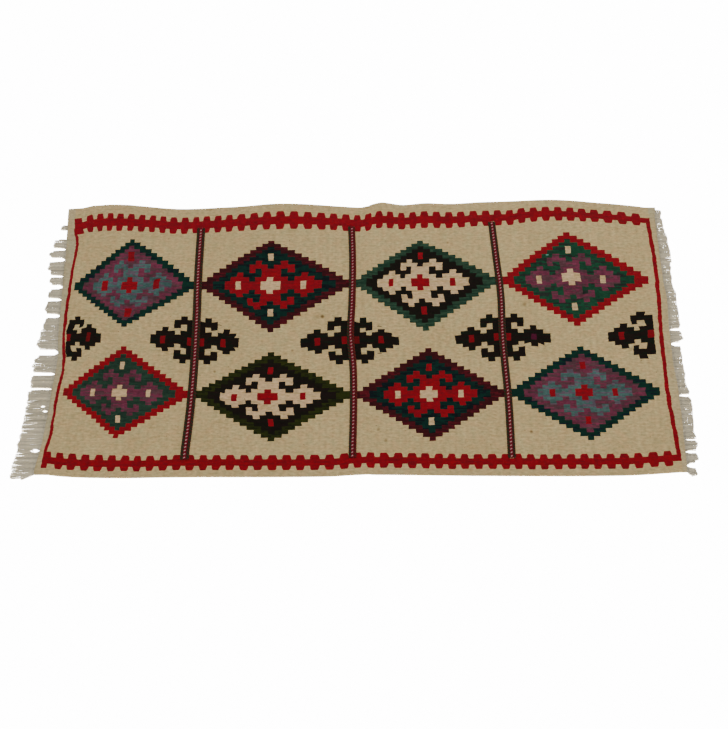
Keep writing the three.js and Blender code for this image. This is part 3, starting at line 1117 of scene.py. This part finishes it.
def make_yarns(name, paths, radii, sides, dyes, material, seed, flecks=None, painted_shade=None):
    """One piece of many yarns, each in its own dye with its own tone, and pale in its flecks.

    Flecks and painted shade are given for each yarn at each stretch between two points."""
    rng = np.random.default_rng(seed)
    points, faces, owners, stretches = tubes(np.array(paths), np.array(radii), sides)
    piece = make_piece(name, points.tolist(), faces, material)
    shades = []
    for dye in dyes:
        tone = 1 + DYES[dye]["wander"] * rng.uniform(-1, 1)
        shades.append(linear_colour(DYES[dye]["main"]) * tone)
    colours = np.array(shades)[owners]
    if flecks is not None:
        colours[np.array(flecks)[owners, stretches]] = linear_colour(DYES[FLECK_DYE]["main"])
    # Painted shade: each face's colour is darkened by its given factor.
    if painted_shade is not None:
        colours *= np.array(painted_shade)[owners, stretches][:, None]
    add_face_colours(piece.data, colours)
    return piece


def heights_on(tree, x, y):
    """The height of a piece's top under each place, in millimetres."""
    heights = []
    for a, b in zip(x, y):
        hit = tree.ray_cast(Vector((a * MM, b * MM, RAYS_FROM["above"])), -UP)[0]
        heights.append(hit.z / MM if hit else THICKNESS)
    return np.array(heights)


def build_braid(node, cloth_top, material):
    """Three ropes side by side along the CAD braid's middle line."""
    braid = BRAIDS[node]
    (_, y0), (_, y1) = braid_ends(node)
    count = int((y1 - y0) / ROPE_PITCH * POINTS_PER_PITCH)
    y = np.linspace(y0, y1, count)
    paths, radii, dyes, flecks = [], [], [], []
    for part, plies, offset in (("side", braid["left"], -1), ("core", [CORE_DYE] * CORE_PLIES, 0),
                                ("side", braid["right"], 1)):
        rope = ROPES[part]
        x = braid_x(node, y) + offset * braid["spacing"]
        z = heights_on(cloth_top, x, y) + rope["lift"]
        width = 2 * ROPE_STIFFNESS + 1
        z = np.convolve(np.pad(z, ROPE_STIFFNESS, "edge"), np.ones(width) / width, "valid")
        path = np.stack([x, y, z], -1)
        turns = rope["turn"] * (y - y0) / ROPE_PITCH
        lay_width = rope["lay_width"] * braid["breadth"]
        paths += twist(path, ALONG, len(plies), lay_width, rope["lay_height"], turns)
        radii += [np.full(count, rope["ply_radius"] * braid["breadth"] ** 0.5)] * len(plies)
        dyes += plies
        flecks += [np.full(count - 1, False)] * len(plies)
        if part == "core":
            flecks[-1] = over_the_top(turns + (CORE_PLIES - 1) / CORE_PLIES)
    piece = make_yarns(node + "_ropes", paths, radii, ROPE_SIDES, dyes, material,
                       SEEDS["braids"], flecks)
    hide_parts(node)
    return piece


def build_loose_wefts(cloth_top, material):
    """Short tails of weft that lie on the cloth, most of them beside the hooks."""
    share = np.linspace(0, 1, WEFT_POINTS)
    paths, radii = [], []
    for weft in LOOSE_WEFTS:
        x = weft["along"] + share * weft["length"]
        y = weft["across"] + weft["rise"] * share**2 + WEFT_WRIGGLE * np.sin(5 * share)
        z = heights_on(cloth_top, x, y) + WEFT_SUNK * weft["radius"]
        paths.append(np.stack([x, y, z], -1))
        radii.append(weft["radius"] * (1 - WEFT_TAPER * share**3))
    dyes = [weft["dye"] for weft in LOOSE_WEFTS]
    return make_yarns("loose_wefts", paths, radii, ROPE_SIDES, dyes, material,
                      SEEDS["wefts"])


def over_the_top(turns):
    """For each stretch of a ply, whether it lies on top of its rope, where it shows pale."""
    middle = (turns[:-1] + turns[1:]) / 2
    # A ply is on top a quarter of a turn on.
    from_top = np.abs((middle - 0.25 + 0.5) % 1 - 0.5)
    return from_top < FLECK_SHARE / 2


def comb_reach(node, outward, y):
    """How far the CAD comb of warp ends reaches at each place, in millimetres along the rug."""
    tree = mesh_tree(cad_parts[node])
    reach = []
    for place in y:
        start = Vector((outward * RAYS_FROM["beyond"], place * MM, THICKNESS / 2 * MM))
        hit = tree.ray_cast(start, Vector((-outward, 0, 0)))[0]
        reach.append(hit.x / MM if hit else 0.0)
    return np.array(reach)


def running(pick, values, radius):
    """The highest or lowest value within a radius of each one."""
    padded = np.pad(values, radius, "edge")
    return pick(np.array([padded[i:i + len(values)] for i in range(2 * radius + 1)]), axis=0)


def warp_lengths(side_name, y):
    """How long the warp ends are at each place; 0 where they are worn off."""
    fringe = FRINGES[side_name]
    fine = np.arange(y[0] - COMB_MARGIN, y[-1] + COMB_MARGIN, 1.0)
    reach = comb_reach(fringe["node"], fringe["outward"], fine)
    length = np.where(reach == 0, 0, (reach - edge_at(side_name, fine)) * fringe["outward"])
    closed = running(np.min, running(np.max, np.maximum(length, 0), CLOSED_NOTCH), CLOSED_NOTCH)
    length = np.interp(y, fine, closed) + read_line(fringe["longer"], y)
    for middle, width in fringe["gaps"]:
        length *= 1 - GAP_SHORTENS * np.exp(-(((y - middle) / (0.5 * width + 2)) ** 2))
    for middle, width in fringe["worn"]:
        length[np.abs(y - middle) < width / 2] = 0
    return length


def tuft_middles(y, gaps):
    """For each warp end, the middle of the tuft that it belongs to."""
    tuft = np.searchsorted(sorted(middle for middle, _ in gaps), y)
    return np.array([y[tuft == number].mean() for number in tuft])


def gap_pushes(y, gaps):
    """How far each warp end is pushed aside at its tip, out of the gaps and into the tufts."""
    push = np.zeros_like(y)
    for middle, width in gaps:
        hold = np.exp(-(((y - middle) / (0.8 * width + 4)) ** 2))
        push += np.sign(y - middle) * width / 2 * hold
    return push


def build_fringe(side_name, material):
    """The loose warp ends: each follows the CAD comb's reach at its place."""
    fringe = FRINGES[side_name]
    rng = np.random.default_rng(fringe["seed"])
    low, high = [corner.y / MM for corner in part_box(fringe["node"])]
    y = np.arange(low + 1.0, high - 1.0, WARP_SPACING)
    length = warp_lengths(side_name, y)
    middles = tuft_middles(y, fringe["gaps"] + fringe["worn"])
    pushes = gap_pushes(y, fringe["gaps"])
    share = np.linspace(0, 1, fringe["points"])
    paths, radii, dyes, painted_shade = [], [], [], []
    for i in np.nonzero(length > SHORTEST_TUFT)[0]:
        for strand in STRANDS:
            path = strand_path(rng, side_name, y[i], length[i], middles[i], pushes[i], strand,
                               share)
            turns = share * length[i] / STRAND_PITCH + rng.uniform()
            paths += twist(path, ACROSS, STRAND_PLIES, STRAND_LAY, STRAND_LAY, turns)
            radii += [STRAND_PLY_RADIUS * (1 - STRAND_TAPER * share**6)] * STRAND_PLIES
            dyes += ["warp"] * STRAND_PLIES
            # Shade painted on each strand: darker between the cords and at its root.
            painted_shade += [painted_warp_shade(y[i], path[:, 0], edge_at(side_name, y[i]))] * STRAND_PLIES
    piece = make_yarns(fringe["node"] + "_strands", paths, radii, STRAND_SIDES, dyes, material,
                       fringe["seed"], painted_shade=painted_shade)
    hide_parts(fringe["node"])
    return piece


def painted_warp_shade(y, x, edge):
    """Painted shade darkens warp ends in the hollows between their cords and where they leave the
    cloth.
    """
    out = np.abs((x[:-1] + x[1:]) / 2 - edge)
    cord = y / CORD_WIDTH
    for wander in CORD_WANDERS:
        cord += wander["share"] * math.sin(y / wander["size"])
    hollow = (1 - abs(math.sin(math.pi * cord))) ** 1.5
    return 1 - HOLLOW_PAINTED_SHADE * hollow - ROOT_PAINTED_SHADE * np.exp(-((out / ROOT_SHADE_REACH) ** 2))


def strand_length(rng, y, length):
    """How far a strand reaches where its comb has this length."""
    wander = LENGTH_WAVE["wander"] * math.sin(y / LENGTH_WAVE["wander_size"])
    waves = 0.5 + 0.5 * math.sin(y / LENGTH_WAVE["size"] + wander)
    share = 1 - SHORTER["waves"] * waves - SHORTER["chance"] * rng.uniform()
    broken = rng.uniform() > UNBROKEN_SHARE
    return length * (share - SHORTER["broken"] * broken)


def around_holes(holes, across, out):
    """Strands that would cross a hole in the fringe pass it on their own side."""
    for hole in holes:
        from_middle = across - hole["across"]
        near = np.exp(-((from_middle / hole["half"]) ** 2))
        along = np.exp(-(((out - hole["out"]) / hole["half"] / 1.6) ** 2))
        across = across + np.sign(from_middle) * hole["half"] * near * along
    return across


def strand_path(rng, side_name, y, length, middle, push, strand, share):
    """One strand from inside the cloth's end down to the floor and out to its tip."""
    fringe = FRINGES[side_name]
    near, far = [corner / MM for corner in CLOTH_ENDS[side_name]]
    root_y = min(max(y, near + CORNER_INSET), far - CORNER_INSET)
    out = share * (strand_length(rng, y, length) + STRAND_ROOT_INSIDE)
    x = edge_at(side_name, root_y) + fringe["outward"] * (out - STRAND_ROOT_INSIDE)

    towards = min(max(middle - y, -GATHER_REACH), GATHER_REACH)
    gather = rng.uniform(0.0, GATHER_MOST) * towards * share**1.5
    wave = fringe["wave"] * np.sin(share * rng.uniform(*WAVE_TURNS) + rng.uniform(0, 6))
    sway = rng.uniform(-1, 1) * fringe["sway"] * share**2 + wave * np.minimum(share * 3, 1)
    spread_out = np.minimum(out / fringe["spread_over"], 1) ** 0.8
    flare = fringe["flare"]
    flared = flare["share"] * min(y - flare["from"], 0) * out / flare["out"]
    parted = push * np.minimum(out / GAP_OPENS_OVER, 1) ** 0.8
    across = root_y + (y - root_y) * spread_out + strand["aside"] + gather + sway + flared + parted

    settle = np.clip(out / SETTLE_REACH, 0, 1)
    settle = settle * settle * (3 - 2 * settle)
    rest = STRAND_PLY_RADIUS + STRAND_LAY + strand["above"]
    hump = rng.uniform(0.0, HUMP_MOST) * (strand["above"] > 0) * np.sin(math.pi * share) ** 2
    z = (1 - settle) * STRAND_ROOT_HEIGHT + settle * rest + hump
    return np.stack([x, around_holes(fringe["holes"], across, out), z], -1)


# ---- Materials ----
# What the wool's colour is multiplied by: where it is warmer or cooler, soiled, specked or stained.
WARM_CAST = (1.05, 0.98, 0.96, 1)
COOL_CAST = (0.95, 1.02, 1.02, 1)
SOIL_TINT = (0.86, 0.80, 0.70, 1)
SPECK_TINT = (0.45, 0.38, 0.30, 1)
STAIN_TINT = (0.30, 0.24, 0.14, 1)


def new_material(name):
    material = bpy.data.materials.new(name)
    material.use_nodes = True
    tree = material.node_tree
    return material, tree, tree.nodes["Principled BSDF"]


def feed(tree, node, socket, value):
    """Links an output to an input, or sets the input to a number or vector."""
    if isinstance(value, bpy.types.NodeSocket):
        tree.links.new(value, node.inputs[socket])
    else:
        node.inputs[socket].default_value = value


def add_node(tree, kind, inputs, output=0, **settings):
    """Adds a node with these inputs and settings, and gives one of its outputs."""
    node = tree.nodes.new(kind)
    for key, value in settings.items():
        setattr(node, key, value)
    for socket, value in inputs.items():
        feed(tree, node, socket, value)
    return node.outputs[output]


def attribute(tree, name, output):
    return add_node(tree, "ShaderNodeAttribute", {}, output, attribute_name=name)


def object_place(tree):
    return add_node(tree, "ShaderNodeTexCoord", {}, "Object")


def scaled_place(tree, vector, scale):
    return add_node(tree, "ShaderNodeMapping", {"Vector": vector, "Scale": scale})


def math_node(tree, operation, *values):
    return add_node(tree, "ShaderNodeMath", dict(enumerate(values)), operation=operation)


def noise_node(tree, vector, scale, detail):
    inputs = {"Vector": vector, "Scale": scale, "Detail": detail, "Roughness": 0.6}
    return add_node(tree, "ShaderNodeTexNoise", inputs, "Fac")


def ramp_between(tree, value, low, high, to_low, to_high):
    inputs = dict(enumerate((value, low, high, to_low, to_high)))
    return add_node(tree, "ShaderNodeMapRange", inputs)


def spread(tree, value, low, high):
    """Spreads a noise, most of which lies between 0.3 and 0.7, over the range from low to high."""
    return ramp_between(tree, value, 0.3, 0.7, low, high)


def mixed_colour(tree, mode, factor, first, second):
    inputs = {0: factor, 6: first, 7: second}
    return add_node(tree, "ShaderNodeMix", inputs, 2, data_type="RGBA", blend_type=mode)


def grey(tree, value):
    return add_node(tree, "ShaderNodeCombineColor", dict.fromkeys(range(3), value))


def half_wave(tree, value, power):
    """Round humps of height 1 between whole numbers."""
    wave = math_node(tree, "SINE", math_node(tree, "MULTIPLY", value, math.pi))
    return math_node(tree, "POWER", math_node(tree, "ABSOLUTE", wave), power)


def finish_wool(tree, shader, colour, roughness, height, distance, strength):
    """Wool is matt, with a faint sheen, and its height is bumped over a distance in metres."""
    inputs = {"Height": height, "Distance": distance, "Strength": strength}
    feed(tree, shader, "Base Color", colour)
    feed(tree, shader, "Roughness", roughness)
    feed(tree, shader, "Normal", add_node(tree, "ShaderNodeBump", inputs))
    shader.inputs["Sheen Weight"].default_value = 0.05
    shader.inputs["Sheen Roughness"].default_value = 0.5
    shader.inputs["Specular IOR Level"].default_value = 0.1


def stain_depth(tree, place):
    """How dark the stains make each point, from 0 to 1."""
    depth = 0.0
    for stain in STAINS:
        inputs = {0: place, 1: (stain["along"] * MM, stain["across"] * MM, THICKNESS * MM)}
        away = add_node(tree, "ShaderNodeVectorMath", inputs, "Value", operation="DISTANCE")
        radius = stain["radius"] * MM
        spot = ramp_between(tree, away, 0.35 * radius, radius, stain["depth"], 0.0)
        depth = math_node(tree, "ADD", depth, spot)
    return depth


def flatweave_material():
    """Weft-faced wool: ribs along the warp, wefts over them, heathered and a little soiled."""
    material, tree, shader = new_material("flatweave_wool")
    place = object_place(tree)
    weave = attribute(tree, "weave", "Vector")
    along, rib = [add_node(tree, "ShaderNodeSeparateXYZ", {0: weave}, axis) for axis in (0, 1)]

    ribs = half_wave(tree, rib, 0.6)
    stagger = math_node(tree, "MULTIPLY", math_node(tree, "FLOOR", rib), 0.5)
    bead_place = math_node(tree, "ADD", math_node(tree, "DIVIDE", along, BEAD_LENGTH * MM), stagger)
    beads = half_wave(tree, bead_place, 0.5)
    fibres = noise_node(tree, scaled_place(tree, place, (1.0, 2.5, 1.0)), scale=900, detail=2.0)
    woven = math_node(tree, "MULTIPLY", ribs, math_node(tree, "MULTIPLY_ADD", beads, 0.4, 0.6))
    height = math_node(tree, "MULTIPLY_ADD", fibres, 0.25, woven)

    heather = noise_node(tree, scaled_place(tree, place, (90, 190, 1)), scale=1.0, detail=4.0)
    bands = noise_node(tree, scaled_place(tree, place, (110, 8, 1)), scale=1.0, detail=1.0)
    shade = math_node(tree, "MULTIPLY", spread(tree, heather, 0.75, 1.23),
                      spread(tree, bands, 0.95, 1.05))
    # Painted shade: the colour is darker in the weave's hollows, between the ribs and between the
    # beads.
    shade = math_node(tree, "MULTIPLY", shade, ramp_between(tree, woven, 0.0, 0.7, 0.62, 1.0))
    cast = spread(tree, noise_node(tree, place, scale=45, detail=3.0), 0.0, 1.0)
    cast = mixed_colour(tree, "MIX", cast, WARM_CAST, COOL_CAST)
    soil = noise_node(tree, place, scale=7.0, detail=5.0)
    soil = ramp_between(tree, soil, 0.45, 0.8, 0.0, 0.35)
    specks = noise_node(tree, place, scale=130, detail=1.0)
    specks = ramp_between(tree, specks, 0.76, 0.80, 0.0, 0.8)
    colour = attribute(tree, "dye", "Color")
    for amount, tint in ((1.0, grey(tree, shade)), (1.0, cast), (soil, SOIL_TINT),
                         (specks, SPECK_TINT), (stain_depth(tree, place), STAIN_TINT)):
        colour = mixed_colour(tree, "MULTIPLY", amount, colour, tint)

    finish_wool(tree, shader, colour, spread(tree, fibres, 0.85, 1.0), height,
                distance=0.0009, strength=0.7)
    return material


def yarn_material(name, fibre_scale, shade_low):
    """Loose wool yarn: heathered, with fine fibres along it."""
    material, tree, shader = new_material(name)
    place = object_place(tree)
    fibres = noise_node(tree, place, fibre_scale, 3.0)
    heather = noise_node(tree, place, fibre_scale / 6, 2.0)
    shade = math_node(tree, "MULTIPLY", spread(tree, fibres, shade_low, 1.08),
                      spread(tree, heather, 0.88, 1.06))
    colour = mixed_colour(tree, "MULTIPLY", 1.0, attribute(tree, "dye", "Color"), grey(tree, shade))
    finish_wool(tree, shader, colour, spread(tree, fibres, 0.8, 1.0), fibres,
                distance=0.0004, strength=0.5)
    return material


def floor_material():
    material, tree, shader = new_material("pale_floor")
    tone = spread(tree, noise_node(tree, object_place(tree), scale=1.5, detail=3.0), 0.93, 0.95)
    feed(tree, shader, "Base Color", grey(tree, tone))
    shader.inputs["Roughness"].default_value = 0.9
    shader.inputs["Specular IOR Level"].default_value = 0.1
    shader.inputs["Emission Color"].default_value = (1, 1, 1, 1)
    shader.inputs["Emission Strength"].default_value = FLOOR_GLOW
    return material


# ---- Floor, light and camera ----
def add_floor():
    half = FLOOR_HALF_WIDTH
    corners = [(-half, -half, 0), (half, -half, 0), (half, half, 0), (-half, half, 0)]
    floor = add_mesh("floor", corners, [(0, 1, 2, 3)], floor_material())


def add_light(name, place, size, watts):
    light = bpy.data.lights.new(name, "AREA")
    light.shape = "SQUARE"
    light.size = size
    light.energy = watts
    lamp = add_object(name, light)
    lamp.location = place
    lamp.rotation_euler = (-Vector(place)).to_track_quat("-Z", "Y").to_euler()


def add_studio():
    world = bpy.data.worlds.new("studio")
    bpy.context.scene.world = world
    world.use_nodes = True
    sky = world.node_tree.nodes["Background"]
    sky.inputs["Color"].default_value = (1, 1, 1, 1)
    sky.inputs["Strength"].default_value = SKY_STRENGTH
    for light in LIGHTS:
        add_light(**light)


def add_camera():
    camera = bpy.data.cameras.new("camera")
    camera.lens = CAMERA_LENS
    camera.sensor_width = CAMERA_SENSOR
    viewer = add_object("camera", camera)
    viewer.location = CAMERA_PLACE
    viewer.rotation_euler = (CAMERA_TILT, 0, 0)
    bpy.context.scene.camera = viewer


# ---- The scene ----
add_floor()
add_studio()
add_camera()

cloth = build_cloth(flatweave_material())
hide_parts("cloth")
cloth_top = mesh_tree(cloth)
braid_wool = yarn_material("braid_wool", fibre_scale=1400, shade_low=0.75)
braids = [build_braid(node, cloth_top, braid_wool) for node in BRAIDS]
warp_wool = yarn_material("warp_yarn", fibre_scale=1200, shade_low=0.8)
fringes = [build_fringe(side_name, warp_wool) for side_name in FRINGES]
loose_wefts = build_loose_wefts(cloth_top, braid_wool)
